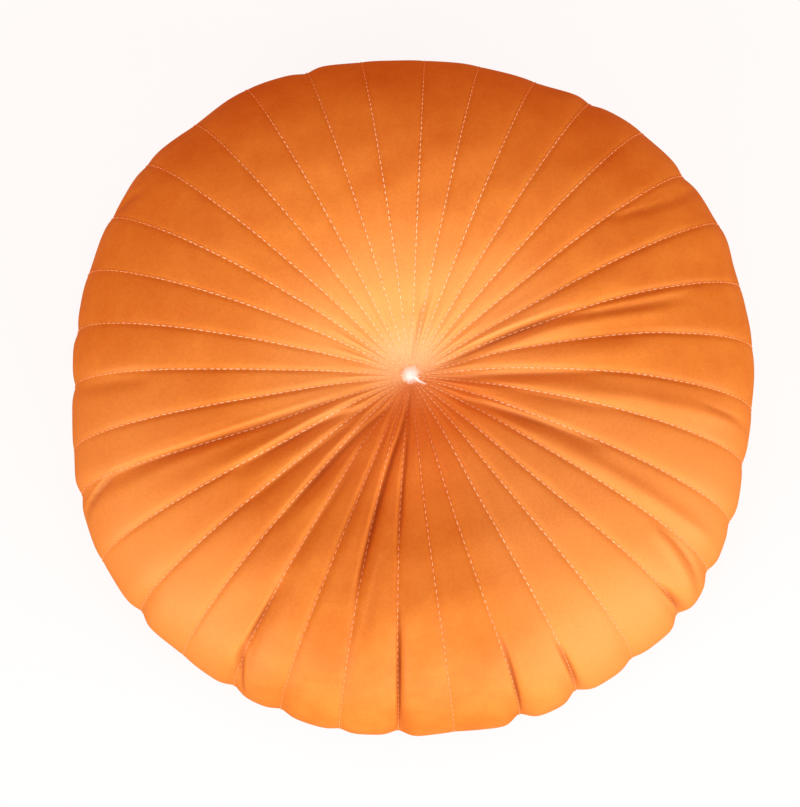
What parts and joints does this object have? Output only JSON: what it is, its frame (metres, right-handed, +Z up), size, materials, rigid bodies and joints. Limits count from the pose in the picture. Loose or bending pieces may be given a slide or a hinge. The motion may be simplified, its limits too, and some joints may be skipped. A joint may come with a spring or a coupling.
{
  "type": "round pleated cushion",
  "caption": "Round filled velvet cushion lying on its back, with stitched channels that run from a sunken, knotted middle over the rim.",
  "frame": {"origin": "on the floor below the tie in the middle of the face, within 3 mm of the middle of the outline", "axes": "+Z up out of the tied face, +X to the right and +Y to the far side as the face is seen"},
  "size_m": [0.3933, 0.3989, 0.1149],
  "materials": {
    "velvet": "orange short-pile velvet with a soft sheen",
    "thread": "white polyester sewing thread"
  },
  "bodies": {
    "root": {"cushion_cover": "velvet", "centre_tie": "thread"}
  },
  "joints": []
}
